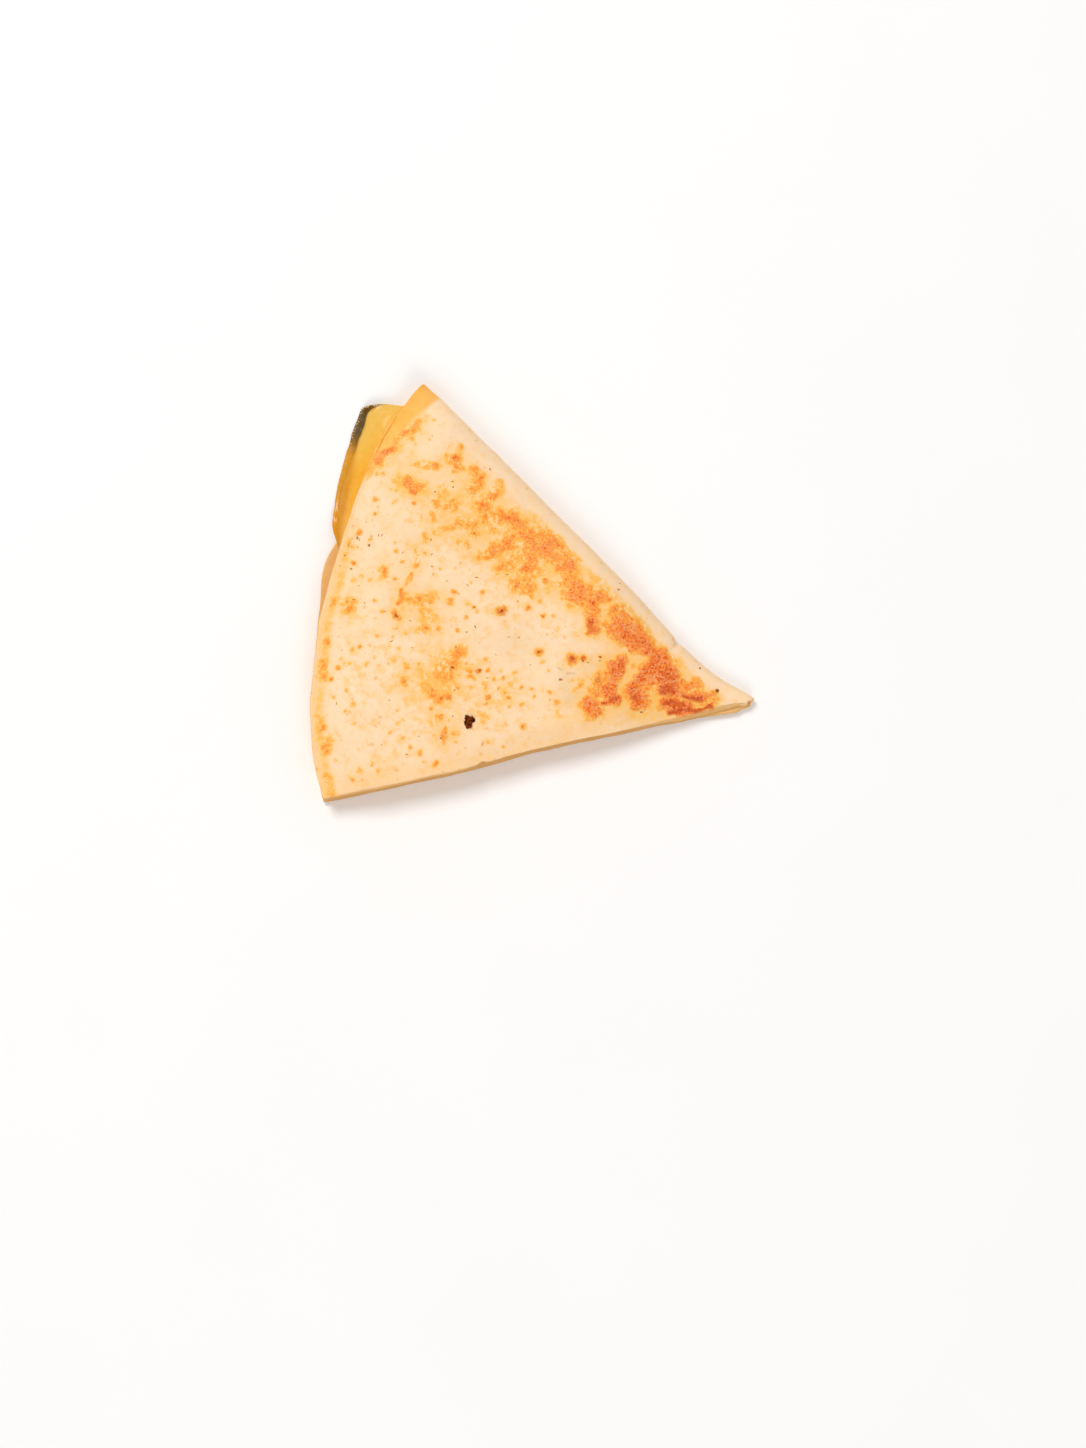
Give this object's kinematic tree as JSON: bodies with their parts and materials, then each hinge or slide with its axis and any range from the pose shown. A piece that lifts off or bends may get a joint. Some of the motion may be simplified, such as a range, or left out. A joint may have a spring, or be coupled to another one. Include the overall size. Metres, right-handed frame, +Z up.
{
  "type": "cheese quesadilla wedge",
  "caption": "Wedge of a toasted quesadilla: a flour tortilla folded over melted cheese, with one folded side, one cut side and cheese running out at the round rim.",
  "frame": {"origin": "under the middle of the bounding box, on the surface the wedge rests on", "axes": "+X towards the wedge's tip, +Y towards the folded side, +Z up through the upper flap"},
  "size_m": [0.1298, 0.1218, 0.0123],
  "materials": {
    "toasted_tortilla": "dry toasted flour tortilla, cream with brown spots",
    "cheese": "melted cheese, smooth and slightly oily"
  },
  "bodies": {
    "root": {"folded_tortilla": "toasted_tortilla", "melted_cheese": "cheese"}
  },
  "joints": []
}
